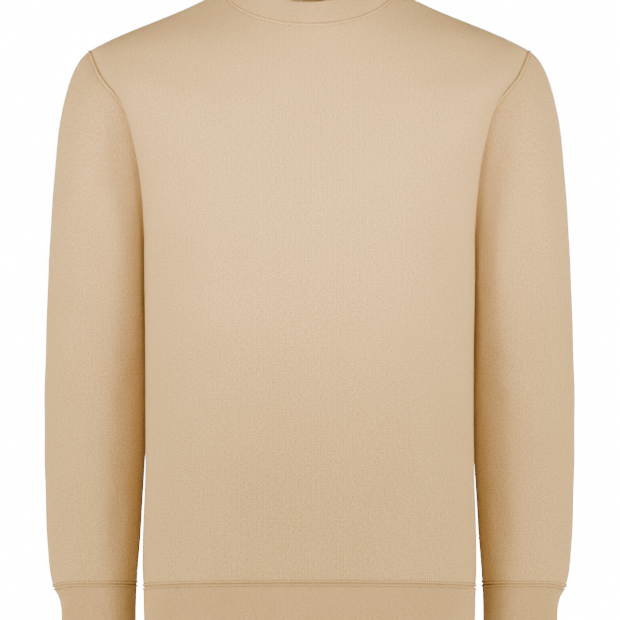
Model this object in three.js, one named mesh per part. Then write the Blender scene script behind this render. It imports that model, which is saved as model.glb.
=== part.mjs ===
// A long-sleeved crewneck sweatshirt, filled out as if worn, with nobody inside.
// Millimetres, +Z up. The front faces -Y and the wearer's left is +X.
// The origin is midway between the two neck points, where the shoulder seams meet the neck seam.
// Front, back and sleeves are single walls of fleece. Collar, hem band and cuffs are rib knit, folded double.
// Every piece is worked out for the wearer's left (+X) and mirrored.
import * as THREE from "three";

// Cloth
const FLEECE = 2.0; // wall of the panels and sleeves
const RIB_WALL = 2.6; // rib knit, folded double, at the middle of its ribs
const RIB_RAISE = 0.45; // how far a rib stands above and below that
const SEAM_GAP = 0.3; // between two sewn pieces
const SHARPEST_MITRE = 0.7; // cosine past which a seam's inner edge is no longer lengthened

// How finely each piece is divided
const SIDE_ROWS = 11; // from hem seam to underarm
const ARMHOLE_ROWS = 12; // from underarm to shoulder point, on the front and on the back
const SHOULDER_ROWS = 6; // from shoulder point to neck point
const HALF_COLUMNS = 12; // from the middle of a panel to its side
const CAP_ROWS = 7; // from armhole seam to upper arm
const ARM_ROWS = 11; // from upper arm to cuff seam
const HEM_RIBS = 208;
const CUFF_RIBS = 44;
const COLLAR_RIBS = 104;

const COLOURS = { fleece: 0xd8bf9f, rib: 0xd2b896 };

// A table with named columns; its first column is where each row stands.
function table(names, rows) {
  return rows.map((row) =>
    Object.fromEntries(names.map((name, i) => [name, row[i]])),
  );
}

// A smooth value between the rows of a table that never overshoots them (monotone cubic).
function read(rows, name, at) {
  const place = Object.keys(rows[0])[0];
  const last = rows.length - 1;
  const slope = (i) =>
    (rows[i + 1][name] - rows[i][name]) / (rows[i + 1][place] - rows[i][place]);
  const tangent = (i) => {
    if (i === 0) return slope(0);
    if (i === last) return slope(last - 1);
    const before = slope(i - 1);
    const after = slope(i);
    return before * after > 0 ? (2 * before * after) / (before + after) : 0;
  };
  let i = 0;
  while (i < last - 1 && at > rows[i + 1][place]) i += 1;
  const span = rows[i + 1][place] - rows[i][place];
  const t = THREE.MathUtils.clamp((at - rows[i][place]) / span, 0, 1);
  return (
    rows[i][name] * (1 + 2 * t) * (1 - t) ** 2 +
    tangent(i) * span * t * (1 - t) ** 2 +
    rows[i + 1][name] * t ** 2 * (3 - 2 * t) +
    tangent(i + 1) * span * t ** 2 * (t - 1)
  );
}

function readPoint(rows, at) {
  return new THREE.Vector3(
    read(rows, "x", at),
    read(rows, "y", at),
    read(rows, "z", at),
  );
}

// Seam lines on the wearer's left, each from at = 0 to at = 1
const NECK_POINT = [89, 8, 0.5];
const SHOULDER_POINT = [236, 12, -66.4];
const UNDERARM = [165, 32, -266];
const PLACE = ["at", "x", "y", "z"];
const SIDE_SEAM = table(PLACE, [
  [0, 178.4, -4, -645.5],
  [0.05, 179.4, -4, -628],
  [0.35, 177, 2, -515],
  [0.7, 175.6, 14, -380],
  [0.9, 171, 25, -303],
  [1, ...UNDERARM],
]);
const ARMHOLE_FRONT = table(PLACE, [
  [0, ...UNDERARM],
  [0.12, 165.5, 14, -246],
  [0.32, 171, -9, -207],
  [0.52, 181.5, -27, -164],
  [0.66, 193.5, -35, -134],
  [0.78, 206, -35, -116],
  [0.89, 222, -24, -97],
  [1, ...SHOULDER_POINT],
]);
const ARMHOLE_BACK = table(PLACE, [
  [0, ...UNDERARM],
  [0.12, 168, 50, -250],
  [0.32, 180, 70, -211],
  [0.52, 196, 80, -165],
  [0.72, 213, 75, -123],
  [0.88, 228, 50, -89],
  [1, ...SHOULDER_POINT],
]);
const SHOULDER_SEAM = table(PLACE, [
  [0, ...SHOULDER_POINT],
  [0.3, 191.7, 11, -45.5],
  [0.7, 132.7, 9.5, -21],
  [1, ...NECK_POINT],
]);

// How each panel runs across, by station: 0 hem seam, 1 underarm, 2 shoulder point, 3 neck seam.
// y and z place the row's middle. across and turn are the reach of its curve from the middle and into the side.
// taper and lean turn that curve outwards or downwards where it reaches the side.
const SHAPE = ["station", "y", "z", "across", "turn", "taper", "lean"];
const FRONT_SHAPE = table(SHAPE, [
  [0, -124, -632.5, 0.76, 80, 0.01, -0.1],
  [0.05, -129, -615, 0.75, 82, 0.03, -0.09],
  [0.35, -133, -508, 0.73, 82, 0.07, -0.03],
  [0.7, -140, -377, 0.71, 84, 0.17, 0],
  [0.9, -142, -300, 0.69, 86, 0.39, 0],
  [1, -142, -262, 0.67, 86, 0.58, 0],
  [1.2, -139, -226, 0.65, 76, 0.68, 0],
  [1.5, -131, -183, 0.62, 60, 0.7, 0],
  [1.7, -122, -152, 0.6, 52, 0.46, 0],
  [1.85, -114, -130, 0.6, 56, -0.05, 0],
  [2, -106, -108, 0.6, 64, -0.3, 0],
  [2.2, -100.5, -93, 0.6, 64, -0.05, 0.05],
  [2.5, -92, -73, 0.58, 60, 0, 0.15],
  [3, -78, -44, 0.56, 48, 0, 0.48],
]);
const BACK_SHAPE = table(SHAPE, [
  [0, 112, -652, 0.74, 70, 0.01, -0.1],
  [0.05, 116, -632, 0.73, 70, 0.03, -0.09],
  [0.35, 111, -515, 0.7, 66, 0.07, -0.03],
  [0.7, 115, -377, 0.68, 68, 0.17, 0],
  [0.9, 122, -302, 0.66, 70, 0.32, 0],
  [1, 126, -264, 0.64, 65, 0.42, 0],
  [1.2, 130, -228, 0.63, 48, 0.7, 0],
  [1.5, 131, -178, 0.61, 32, 1.1, 0],
  [1.75, 127, -132, 0.6, 38, 0.9, 0],
  [2, 116, -88, 0.6, 54, 0.35, 0],
  [2.2, 109, -64, 0.6, 54, 0.05, 0.05],
  [2.5, 97, -34, 0.58, 48, 0, 0.12],
  [3, 72, 8, 0.56, 35, 0, 0.25],
]);

// The sleeve below the armhole: inner and outer are its reach in x, y its middle, deep its half depth,
// and droop how far its outer side hangs below its middle. at runs from the upper arm to the cuff seam.
const ARM = ["at", "z", "inner", "outer", "y", "deep", "droop"];
const SLEEVE = table(ARM, [
  [0, -292, 176.5, 283, 38, 73, 0],
  [0.25, -380, 179, 286.7, 40, 66, 0],
  [0.5, -470, 180, 288, 36, 59, 0],
  [0.75, -560, 181.5, 286, 26, 52, 0],
  [0.93, -624, 185.3, 281, 15, 46, 2],
  [1, -640, 186.6, 276.8, 12, 42, 7],
]);
const CUFF = table(ARM, [
  [0, -640, 186.6, 276, 12, 41.5, 7],
  [0.25, -655, 187.2, 269.6, 10, 37, 4],
  [0.5, -671, 187.4, 267.2, 7, 34, 2],
  [1, -703, 187.4, 266.6, 2, 32, 0],
]);
const SLEEVE_SQUARE = 2.25; // exponent of the sleeve's section; 2 is an ellipse
const INNER_DROOP = 0.4; // how far the inner side hangs, as a share of the outer side
// How the sleeve leaves the armhole, by the turn round it: 0 underarm, 0.5 shoulder point, 1 underarm again
// leave and meet are the reach of its curve out of the armhole and into the upper arm, of the way between them.
const SLEEVE_HEAD = table(["at", "x", "y", "z", "leave", "meet"], [
  [0, 0.5, 0, -0.86, 0.33, 0.26],
  [0.15, 0.75, -0.3, -0.6, 0.33, 0.26],
  [0.3, 0.86, -0.3, -0.42, 0.3, 0.28],
  [0.42, 0.9, -0.12, -0.43, 0.22, 0.29],
  [0.5, 0.889, 0, -0.457, 0.2, 0.29],
  [0.58, 0.9, 0.12, -0.43, 0.22, 0.29],
  [0.7, 0.86, 0.3, -0.42, 0.3, 0.28],
  [0.85, 0.75, 0.3, -0.6, 0.33, 0.26],
  [1, 0.5, 0, -0.86, 0.33, 0.26],
]);
const MEET_LEAN = 0.08; // how far the head still leans outwards, per length, where it meets the upper arm

// Hem band and collar, each from its seam to its folded edge
const HEM_EDGE = { side: [176.8, -4, -709], front: [-121, -698], back: [109, -715] };
const COLLAR_EDGE = { side: [76, 8, 22], front: [-66, -21.3], back: [62, 30] };
const ROUND = 0.5523; // handle of a quarter circle
const RING_STEPS = 24; // points worked out in a quarter of a ring, before ribs are spaced along it
const FINE_STEPS = 12; // lengths measured between two of those points

// The largest folds: soft ridges (raise above 0) and troughs between two points of a front view, by their width.
const FOLD = ["x1", "z1", "x2", "z2", "wide", "raise"];
const FRONT_FOLDS = table(FOLD, [
  [66, -330, 62, -470, 22, -2.2],
  [74, -470, 44, -590, 17, -2.4],
  [104, -350, 112, -520, 24, 1.8],
  [150, -250, 128, -420, 20, -1.6],
]);
const BACK_FOLDS = table(FOLD, [
  [136, -250, 112, -430, 19, -2.8],
  [104, -240, 84, -400, 18, 1.8],
  [60, -420, 92, -590, 20, -2.4],
]);
const SLEEVE_FOLDS = table(FOLD, [
  [192, -398, 240, -420, 12, -2.2],
  [190, -438, 226, -452, 10, -1.8],
  [204, -500, 262, -476, 15, -1.6],
  [206, -560, 214, -618, 10, -1.8],
  [246, -250, 262, -350, 18, -1.4],
]);
const FOLD_FADE = 28; // folds die out this far from a panel's edge

function foldHeight(folds, x, z) {
  const at = new THREE.Vector3(Math.abs(x), 0, z);
  return folds.reduce((sum, fold) => {
    const line = new THREE.Line3(
      new THREE.Vector3(fold.x1, 0, fold.z1),
      new THREE.Vector3(fold.x2, 0, fold.z2),
    );
    const near = line.closestPointToPoint(at, true, new THREE.Vector3());
    return sum + fold.raise * Math.exp(-((near.distanceTo(at) / fold.wide) ** 2));
  }, 0);
}

// Stations of a panel's rows, and the seam point at a station
const STATIONS = [SIDE_ROWS, ARMHOLE_ROWS, SHOULDER_ROWS]
  .flatMap((rows, segment) =>
    Array.from({ length: rows }, (_, i) => segment + i / rows),
  )
  .concat(3);

function seamPoint(armhole, station) {
  const segment = Math.min(Math.floor(station), 2);
  const lines = [SIDE_SEAM, armhole, SHOULDER_SEAM];
  return readPoint(lines[segment], station - segment);
}

const PANELS = {
  front: { shape: FRONT_SHAPE, armhole: ARMHOLE_FRONT, way: -1, folds: FRONT_FOLDS },
  back: { shape: BACK_SHAPE, armhole: ARMHOLE_BACK, way: 1, folds: BACK_FOLDS },
};

// A panel's row on the wearer's left, as a curve from the middle to the seam.
function rowCurve(panel, station) {
  const value = (name) => read(panel.shape, name, station);
  const edge = seamPoint(panel.armhole, station);
  const middle = new THREE.Vector3(0, value("y"), value("z"));
  const out = middle.clone().setX(value("across") * edge.x);
  const into = new THREE.Vector3(-panel.way * value("taper"), panel.way, panel.way * value("lean"))
    .multiplyScalar(value("turn"))
    .add(edge);
  return new THREE.CubicBezierCurve3(middle, out, into, edge);
}

// The ring round the armhole: up the front from the underarm, over the shoulder point, down the back.
const ARMHOLE_RING = Array.from({ length: 2 * ARMHOLE_ROWS }, (_, i) => {
  const onFront = i <= ARMHOLE_ROWS;
  const up = onFront ? i / ARMHOLE_ROWS : 2 - i / ARMHOLE_ROWS;
  return readPoint(onFront ? ARMHOLE_FRONT : ARMHOLE_BACK, up);
});

function sleeveDirection(i) {
  return readPoint(SLEEVE_HEAD, i / (2 * ARMHOLE_ROWS)).normalize();
}

// A point of the sleeve's or cuff's section, where round goes from 0 at the body by the front.
function armPoint(rows, at, round) {
  const value = (name) => read(rows, name, at);
  const angle = 2 * Math.PI * round;
  const bend = (v) => Math.sign(v) * Math.abs(v) ** (2 / SLEEVE_SQUARE);
  const outward = -bend(Math.cos(angle));
  const half = (value("outer") - value("inner")) / 2;
  return new THREE.Vector3(
    value("inner") + half + half * outward,
    value("y") - value("deep") * bend(Math.sin(angle)),
    value("z") - value("droop") * outward ** 4 * (outward > 0 ? 1 : INNER_DROOP),
  );
}

function sum(vectors) {
  return vectors.reduce((total, v) => total.add(v), new THREE.Vector3()).normalize();
}

// The way two or more walls' inner edges go where they are sewn, longer where they meet at a sharp angle,
// so that each wall keeps its thickness there.
function mitre(normals) {
  const way = sum(normals);
  return way.multiplyScalar(1 / Math.max(SHARPEST_MITRE, way.dot(normals[0])));
}

// Normals of a grid of points, facing the side where rows go up and columns go to the left of them.
function gridNormals(grid, closed) {
  const last = grid.length - 1;
  return grid.map((row, r) =>
    row.map((_, c) => {
      const n = row.length;
      const left = closed ? row[(c + n - 1) % n] : row[Math.max(c - 1, 0)];
      const right = closed ? row[(c + 1) % n] : row[Math.min(c + 1, n - 1)];
      const across = right.clone().sub(left);
      const along = grid[Math.min(r + 1, last)][c].clone().sub(grid[Math.max(r - 1, 0)][c]);
      return across.cross(along).normalize();
    }),
  );
}

// Normals at the sides of both panels and at the armhole, shared by the pieces that are sewn there.
function seamNormals() {
  const ring = ARMHOLE_RING;
  const ofSleeve = ring.map((_, i) => {
    const along = ring[(i + 1) % ring.length].clone().sub(ring[(i + ring.length - 1) % ring.length]);
    return sleeveDirection(i).cross(along).normalize();
  });
  const ofPanel = (panel) =>
    STATIONS.map((_, i) => {
      const point = (j) => seamPoint(panel.armhole, STATIONS[THREE.MathUtils.clamp(j, 0, STATIONS.length - 1)]);
      const here = point(i);
      const along = sum([
        point(i + 1).sub(here).normalize(),
        here.clone().sub(point(i - 1)).normalize(),
      ]);
      const curve = rowCurve(panel, STATIONS[i]);
      const into = curve.v3.clone().sub(curve.v2);
      return into.cross(along).multiplyScalar(-panel.way).normalize();
    });
  const own = { front: ofPanel(PANELS.front), back: ofPanel(PANELS.back) };
  const under = SIDE_ROWS;
  const top = SIDE_ROWS + ARMHOLE_ROWS;
  const shared = {};
  for (const name of ["front", "back"])
    shared[name] = STATIONS.map((_, i) => {
      const sleeveAt = name === "front" ? i - under : (2 * ARMHOLE_ROWS - (i - under)) % ring.length;
      if (i > under && i < top) return mitre([own[name][i], ofSleeve[sleeveAt]]);
      const both = [own.front[i], own.back[i]];
      if (i === under || i === top) both.push(ofSleeve[i - under]);
      return mitre(both);
    });
  shared.armhole = ring.map((_, i) =>
    i <= ARMHOLE_ROWS
      ? shared.front[under + i]
      : shared.back[under + 2 * ARMHOLE_ROWS - i],
  );
  return shared;
}

const SEAM_NORMALS = seamNormals();

// A closed wall: outer points, and inner points moved in along the normals.
// Rings may have more outer points than inner ones, by a whole number of times.
function wall({ outer, inner, closed }) {
  const points = [];
  const faces = [];
  const number = (grid) =>
    grid.map((row) => row.map((p) => points.push(p.x, p.y, p.z) / 3 - 1));
  const skin = (grid, flip) => {
    const n = grid[0].length;
    for (let r = 0; r + 1 < grid.length; r += 1)
      for (let c = 0; c < (closed ? n : n - 1); c += 1) {
        const d = (c + 1) % n;
        const quad = [grid[r][c], grid[r][d], grid[r + 1][d], grid[r + 1][c]];
        if (flip) quad.reverse();
        faces.push(quad[0], quad[1], quad[2], quad[0], quad[2], quad[3]);
      }
  };
  const rim = (out, inn, flip) => {
    const times = closed ? out.length / inn.length : 1;
    const steps = closed ? inn.length : inn.length - 1;
    const add = (a, b, c) => faces.push(...(flip ? [c, b, a] : [a, b, c]));
    for (let i = 0; i < steps; i += 1) {
      const next = inn[(i + 1) % inn.length];
      const half = Math.ceil(times / 2);
      for (let k = 0; k < times; k += 1) {
        const a = out[i * times + k];
        const b = out[(i * times + k + 1) % out.length];
        add(a, k < half ? inn[i] : next, b);
      }
      add(out[(i * times + half) % out.length], inn[i], next);
    }
  };
  const outIds = number(outer);
  const inIds = number(inner);
  skin(outIds, false);
  skin(inIds, true);
  rim(outIds[0], inIds[0], false);
  rim(outIds.at(-1), inIds.at(-1), true);
  if (!closed)
    for (const side of [0, -1])
      rim(outIds.map((row) => row.at(side)), inIds.map((row) => row.at(side)), side === 0);
  const geometry = new THREE.BufferGeometry();
  geometry.setAttribute("position", new THREE.Float32BufferAttribute(points, 3));
  geometry.setIndex(faces);
  return geometry;
}

function mirrored(geometry) {
  const copy = geometry.clone().scale(-1, 1, 1);
  copy.setIndex([...geometry.index.array].reverse());
  return copy;
}

function level(normal) {
  return normal.clone().setZ(0).normalize();
}

// Moves every row's end points, and the first and last rows, back from their seams by half the gap.
function openSeams(grid, sides) {
  const back = (point, towards) =>
    point.add(towards.clone().sub(point).setLength(SEAM_GAP / 2));
  const last = grid.length - 1;
  grid[0].forEach((p, c) => back(p, grid[1][c]));
  grid[last].forEach((p, c) => back(p, grid[last - 1][c]));
  if (sides)
    for (const row of grid) {
      back(row[0], row[1]);
      back(row.at(-1), row.at(-2));
    }
}

// Front or back, from the hem seam to the neck seam, between the side seams and armholes.
function panelWall(name) {
  const panel = PANELS[name];
  const columns = Array.from({ length: 2 * HALF_COLUMNS + 1 }, (_, c) => c / HALF_COLUMNS - 1);
  const plain = STATIONS.map((station) => {
    const curve = rowCurve(panel, station);
    return columns.map((c) => {
      const p = curve.getPoint(Math.abs(c));
      p.x *= Math.sign(c);
      return p;
    });
  });
  const rowsUp = panel.way < 0 ? plain : plain.map((row) => [...row].reverse());
  const normals = gridNormals(rowsUp, false);
  const shared = SEAM_NORMALS[name];
  normals.forEach((row, r) => {
    row[0] = shared[r].clone();
    row[row.length - 1] = shared[r].clone();
    row[panel.way < 0 ? 0 : row.length - 1].x *= -1;
  });
  normals[0] = normals[0].map(level);
  const ends = rowsUp.map((row) => [row[0].clone(), row.at(-1).clone()]);
  const outer = rowsUp.map((row, r) =>
    row.map((p, c) => {
      const edge = Math.min(
        p.distanceTo(ends[r][0]),
        p.distanceTo(ends[r][1]),
        p.distanceTo(rowsUp[0][c]),
        p.distanceTo(rowsUp.at(-1)[c]),
      );
      const fade = THREE.MathUtils.smoothstep(edge, 0, FOLD_FADE);
      return p.clone().addScaledVector(normals[r][c], fade * foldHeight(panel.folds, p.x, p.z));
    }),
  );
  openSeams(outer, true);
  const inner = outer.map((row, r) =>
    row.map((p, c) => p.clone().addScaledVector(normals[r][c], -FLEECE)),
  );
  return wall({ outer, inner, closed: false });
}

// A sleeve: from the armhole ring over the shoulder's roundness to the upper arm, then down to the cuff seam.
function sleeveRings() {
  const capRings = Array.from({ length: CAP_ROWS }, (_, r) =>
    ARMHOLE_RING.map((start, i) => {
      const round = i / ARMHOLE_RING.length;
      const end = armPoint(SLEEVE, 0, round);
      const far = end.distanceTo(start);
      const meet = far * read(SLEEVE_HEAD, "meet", round);
      const lean = MEET_LEAN * Math.cos(2 * Math.PI * round);
      return new THREE.CubicBezierCurve3(
        start,
        start.clone().addScaledVector(sleeveDirection(i), far * read(SLEEVE_HEAD, "leave", round)),
        end.clone().add(new THREE.Vector3(lean * meet, 0, meet)),
        end,
      ).getPoint(r / CAP_ROWS);
    }),
  );
  const armRings = Array.from({ length: ARM_ROWS + 1 }, (_, r) =>
    ARMHOLE_RING.map((_, i) => armPoint(SLEEVE, r / ARM_ROWS, i / ARMHOLE_RING.length)),
  );
  return [...capRings, ...armRings];
}

function sleeveWall() {
  const plain = sleeveRings().reverse();
  const normals = gridNormals(plain, true);
  normals[normals.length - 1] = SEAM_NORMALS.armhole;
  normals[0] = normals[0].map(level);
  const outer = plain.map((row, r) =>
    row.map((p, c) => {
      const edge = Math.min(p.distanceTo(plain[0][c]), p.distanceTo(plain.at(-1)[c]));
      const fade = THREE.MathUtils.smoothstep(edge, 0, FOLD_FADE);
      return p.clone().addScaledVector(normals[r][c], fade * foldHeight(SLEEVE_FOLDS, p.x, p.z));
    }),
  );
  openSeams(outer, false);
  const inner = outer.map((row, r) =>
    row.map((p, c) => p.clone().addScaledVector(normals[r][c], -FLEECE)),
  );
  return wall({ outer, inner, closed: true });
}

// A rib-knit tube, ribs raised outside and plain inside. Its ring function gives the middle of its outer side.
function ribTube({ ribs, plainEvery, levels, ring, flat }) {
  const rings = levels.map((at) => evenly(ring(at), 2 * ribs));
  openSeams(rings, false);
  const normals = gridNormals(rings, true).map((row) => (flat ? row.map(level) : row));
  const moved = (distance, step) =>
    rings.map((row, r) =>
      row
        .map((p, i) => p.clone().addScaledVector(normals[r][i], distance(i)))
        .filter((_, i) => i % step === 0),
    );
  const outer = moved((i) => (i % 2 ? RIB_RAISE : -RIB_RAISE), 1);
  const inner = moved(() => -RIB_WALL, plainEvery);
  return wall({ outer, inner, closed: true });
}

// A closed line's points, spaced evenly along it.
function evenly(points, count) {
  const line = new THREE.CatmullRomCurve3(points, true);
  line.arcLengthDivisions = FINE_STEPS * points.length;
  return line.getSpacedPoints(count).slice(0, -1);
}

// A closed ring of four quarter curves, from the front middle towards +X and on to the back.
function quarterRing(front, back) {
  const half = [
    ...front.getPoints(RING_STEPS).slice(0, -1),
    ...back.getPoints(RING_STEPS).reverse(),
  ];
  const other = half.slice(1, -1).map((p) => p.clone().setX(-p.x));
  return [...half, ...other.reverse()];
}

function between(a, b, share) {
  return new THREE.CubicBezierCurve3(
    a.v0.clone().lerp(b.v0, share),
    a.v1.clone().lerp(b.v1, share),
    a.v2.clone().lerp(b.v2, share),
    a.v3.clone().lerp(b.v3, share),
  );
}

function hemBand() {
  const edge = (name) => {
    const seam = rowCurve(PANELS[name], 0);
    const side = new THREE.Vector3(...HEM_EDGE.side);
    const middle = new THREE.Vector3(0, ...HEM_EDGE[name]);
    const into = seam.v2.clone().sub(seam.v3).add(side);
    return new THREE.CubicBezierCurve3(middle, middle.clone().setX(seam.v1.x), into, side);
  };
  const ring = (at) =>
    quarterRing(
      between(edge("front"), rowCurve(PANELS.front, 0), at),
      between(edge("back"), rowCurve(PANELS.back, 0), at),
    );
  return ribTube({ ribs: HEM_RIBS, plainEvery: 8, levels: [0, 1], ring, flat: true });
}

function cuff() {
  const steps = 4 * RING_STEPS;
  const ring = (at) => Array.from({ length: steps }, (_, i) => armPoint(CUFF, 1 - at, i / steps));
  return ribTube({ ribs: CUFF_RIBS, plainEvery: 4, levels: [0, 0.5, 1], ring, flat: true });
}

function collar() {
  const edge = (name) => {
    const [y, z] = COLLAR_EDGE[name];
    const side = new THREE.Vector3(...COLLAR_EDGE.side);
    const middle = new THREE.Vector3(0, y, z);
    return new THREE.CubicBezierCurve3(
      middle,
      middle.clone().setX(ROUND * side.x),
      side.clone().lerp(middle.clone().setX(side.x), ROUND),
      side,
    );
  };
  const ring = (at) =>
    quarterRing(
      between(rowCurve(PANELS.front, 3), edge("front"), at),
      between(rowCurve(PANELS.back, 3), edge("back"), at),
    );
  return ribTube({ ribs: COLLAR_RIBS, plainEvery: 8, levels: [0, 0.5, 1], ring, flat: false });
}

function cloth(name, geometry, colour) {
  const mesh = new THREE.Mesh(
    geometry,
    new THREE.MeshStandardMaterial({ color: colour, roughness: 0.95, metalness: 0 }),
  );
  mesh.name = name;
  return mesh;
}

const sweatshirt = new THREE.Group();
const sleeve = sleeveWall();
const cuffLeft = cuff();
sweatshirt.add(
  cloth("front_panel", panelWall("front"), COLOURS.fleece),
  cloth("back_panel", panelWall("back"), COLOURS.fleece),
  cloth("sleeve_left", sleeve, COLOURS.fleece),
  cloth("sleeve_right", mirrored(sleeve), COLOURS.fleece),
  cloth("cuff_left", cuffLeft, COLOURS.rib),
  cloth("cuff_right", mirrored(cuffLeft), COLOURS.rib),
  cloth("hem_band", hemBand(), COLOURS.rib),
  cloth("collar", collar(), COLOURS.rib),
);

export default sweatshirt;
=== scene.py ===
# %% [markdown]
# # A crewneck sweatshirt, filled out as if worn
#
# The object is a long-sleeved fleece sweatshirt with nobody in it. It was cut as a front, a back
# and two sleeves, and finished with rib knit at the neck, the cuffs and the hem. Each of those
# pieces is modelled here as its own thin shell of cloth, in place of the plain solid that the
# frame holds for it. The frame is loaded first, because every piece has to lie where its solid is.

import math

import bpy
import numpy as np
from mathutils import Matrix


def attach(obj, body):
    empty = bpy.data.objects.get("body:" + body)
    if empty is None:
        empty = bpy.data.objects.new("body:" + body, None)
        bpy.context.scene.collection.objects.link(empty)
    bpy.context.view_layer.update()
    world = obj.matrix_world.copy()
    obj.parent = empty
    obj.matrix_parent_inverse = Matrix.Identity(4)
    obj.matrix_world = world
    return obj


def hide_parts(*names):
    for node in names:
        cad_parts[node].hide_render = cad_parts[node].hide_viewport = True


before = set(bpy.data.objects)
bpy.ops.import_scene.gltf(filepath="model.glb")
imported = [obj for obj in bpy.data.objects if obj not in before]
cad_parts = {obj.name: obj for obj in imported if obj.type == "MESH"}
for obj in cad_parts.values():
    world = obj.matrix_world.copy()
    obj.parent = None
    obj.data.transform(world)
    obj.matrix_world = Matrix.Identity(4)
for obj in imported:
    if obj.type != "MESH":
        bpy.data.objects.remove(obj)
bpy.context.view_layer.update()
MM = 0.001
print("solids in the frame:", ", ".join(sorted(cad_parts)))

# %% [markdown]
# ## Camera
#
# The garment was photographed from straight in front with a long lens, close enough that the top
# of the collar and the foot of the hem band fall outside the picture. A long lens far away keeps
# the sleeves, which hang further back than the chest, at almost the same scale as the chest.

# %% Place the camera
CAMERA_AWAY = 4.2
CAMERA_HEIGHT = -0.347
LENS = 226.5
camera_data = bpy.data.cameras.new("camera")
camera_data.lens = LENS
camera_data.sensor_width = 36
camera = bpy.data.objects.new("camera", camera_data)
camera.location = (0.0005, -CAMERA_AWAY, CAMERA_HEIGHT)
camera.rotation_euler = (math.radians(90), 0, 0)
bpy.context.collection.objects.link(camera)
bpy.context.scene.camera = camera
print("picture is", round(CAMERA_AWAY * 36 / LENS, 3), "m wide at the side seams")

# %% [markdown]
# ## Reading the cutter's tables
#
# The shape is held in a few short tables: points of each seam, and how a row of cloth runs across
# from the middle of a panel to its side. A monotone cubic reads smoothly between the rows of a
# table and never swings past them, so a waist stays a waist. These tables lie a few millimetres
# closer to the picture than the solids at the waist, behind the underarm and on the sleeves'
# inner sides. Elsewhere the dressed garment lies on the solids.


# %% Read between the rows of a table
def read_between(rows, at):
    """Values of all the table's columns at each of the places in at; column 0 is the place."""
    rows = np.asarray(rows, float)
    at = np.asarray(at, float)
    place, value = rows[:, 0], rows[:, 1:]
    step = np.diff(place)[:, None]
    slope = np.diff(value, axis=0) / step
    tangent = np.vstack([slope[:1], np.zeros_like(slope[1:]), slope[-1:]])
    same = slope[:-1] * slope[1:] > 0
    total = np.where(same, slope[:-1] + slope[1:], 1)
    tangent[1:-1] = np.where(same, 2 * slope[:-1] * slope[1:] / total, 0)
    i = np.clip(np.searchsorted(place, at, side="right") - 1, 0, len(place) - 2)
    t = np.clip((at - place[i]) / step[i, 0], 0, 1)[:, None]
    return (
        value[i] * (1 + 2 * t) * (1 - t) ** 2
        + tangent[i] * step[i] * t * (1 - t) ** 2
        + value[i + 1] * t**2 * (3 - 2 * t)
        + tangent[i + 1] * step[i] * t**2 * (t - 1)
    )


def soften(values, reach):
    """Blurs rows over reach neighbours each way, and leaves both end rows where they are."""
    values = np.asarray(values, float)
    ahead = 2 * values[:1] - values[reach:0:-1]
    behind = 2 * values[-1:] - values[-2 : -reach - 2 : -1]
    long = np.vstack([ahead, values, behind])
    weights = np.exp(-((np.arange(-reach, reach + 1) / (reach / 2)) ** 2) / 2)
    weights /= weights.sum()
    columns = [np.convolve(column, weights, mode="valid") for column in long.T]
    return np.stack(columns, axis=1)


def bezier(p0, p1, p2, p3, t):
    return (1 - t) ** 3 * p0 + 3 * (1 - t) ** 2 * t * p1 + 3 * (1 - t) * t**2 * p2 + t**3 * p3


# %% [markdown]
# ## Seam lines
#
# Sizes are in millimetres, for the wearer's left. Each seam runs from 0 to 1: the side seam from
# hem to underarm, each armhole from underarm to shoulder point, the shoulder seam on to the neck.

# %% Seam tables
NECK_POINT = [89, 8, -0.4]
SHOULDER_POINT = [236, 12, -66]
UNDERARM = [165, 32, -266]
# at, x, y, z
SIDE_SEAM = [
    [0, 178.4, -4, -645.5],
    [0.05, 179.4, -4, -628],
    [0.35, 176.2, 2, -515],
    [0.7, 173.2, 14, -380],
    [0.9, 168.6, 25, -303],
    [1, *UNDERARM],
]
ARMHOLE_FRONT = [
    [0, *UNDERARM],
    [0.12, 165.5, 14, -246],
    [0.32, 171, -9, -207],
    [0.52, 181.5, -27, -164],
    [0.66, 193.5, -35, -134],
    [0.78, 206, -35, -116],
    [0.89, 222, -24, -97],
    [1, *SHOULDER_POINT],
]
ARMHOLE_BACK = [
    [0, *UNDERARM],
    [0.12, 168, 50, -250],
    [0.32, 180, 70, -211],
    [0.52, 196, 80, -165],
    [0.72, 213, 75, -123],
    [0.88, 228, 50, -89],
    [1, *SHOULDER_POINT],
]
SHOULDER_SEAM = [
    [0, *SHOULDER_POINT],
    [0.15, 213.8, 11.5, -54.8],
    [0.3, 191.7, 11, -45.3],
    [0.7, 132.7, 9.5, -21.6],
    [1, *NECK_POINT],
]

# %% [markdown]
# A row of a panel is one curve from its middle to its seam. Its height and depth in the middle,
# how far it runs flat across, and how it turns into the side are read by station: 0 at the hem
# seam, 1 at the underarm, 2 at the shoulder point, 3 at the neck seam. taper pushes the turn out
# over the sleeve, which makes the fold of cloth that hides the lower armhole in front.

# %% Panel shape tables
# station, y, z, across, turn, taper, lean
FRONT_SHAPE = [
    [0, -124, -632.5, 0.76, 80, 0.01, -0.1],
    [0.05, -129, -615, 0.75, 82, 0.03, -0.09],
    [0.35, -133, -508, 0.73, 82, 0.08, -0.03],
    [0.7, -140, -377, 0.71, 84, 0.22, 0],
    [0.9, -142, -300, 0.69, 86, 0.45, 0],
    [1, -142, -262, 0.67, 86, 0.59, 0],
    [1.2, -139, -226, 0.65, 76, 0.63, 0],
    [1.5, -131, -183, 0.62, 60, 0.6, 0],
    [1.7, -122, -152, 0.6, 52, 0.36, 0],
    [1.85, -114, -130, 0.6, 56, -0.08, 0],
    [2, -106, -108, 0.6, 64, -0.3, 0],
    [2.2, -100.5, -93, 0.6, 64, -0.05, 0.05],
    [2.5, -92, -73, 0.58, 60, 0, 0.15],
    [3, -78, -44, 0.56, 48, 0, 0.48],
]
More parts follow.
